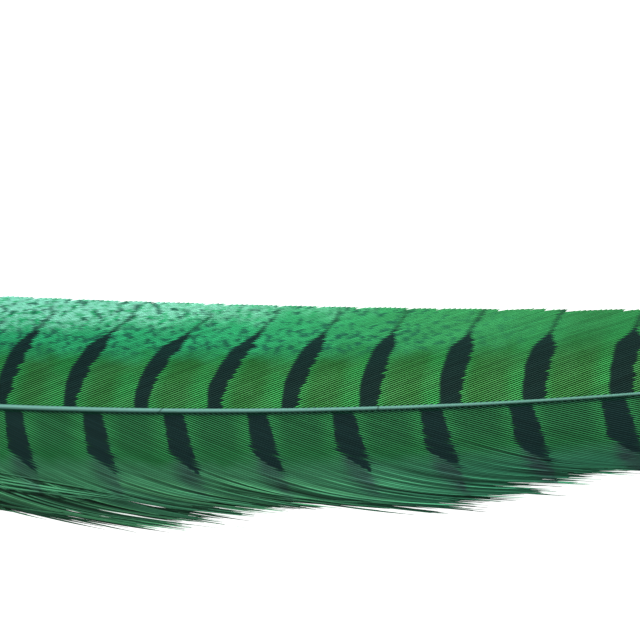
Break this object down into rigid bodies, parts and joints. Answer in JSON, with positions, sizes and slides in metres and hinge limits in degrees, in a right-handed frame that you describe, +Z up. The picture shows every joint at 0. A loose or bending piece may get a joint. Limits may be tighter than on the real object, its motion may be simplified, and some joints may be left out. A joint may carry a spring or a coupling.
{
  "type": "pheasant tail feather",
  "caption": "Long tapering tail feather with a bare quill, a bowed shaft, a firm outer vane that rolls down at its margin and an inner vane that ends in a loose fringe, lying on its underside.",
  "frame": {"origin": "on the surface the feather lies on, under the middle of its length and width", "axes": "+X along the feather from the quill to the tip, +Y towards the outer vane, +Z up through the feather's upper side"},
  "size_m": [0.3991, 0.0508, 0.0056],
  "materials": {
    "vane": "dyed green barbs with dark bars, matt with a soft sheen",
    "shaft": "dyed keratin, satin",
    "down": "dyed down, matt"
  },
  "bodies": {
    "root": {"feather": "vane"}
  },
  "joints": []
}
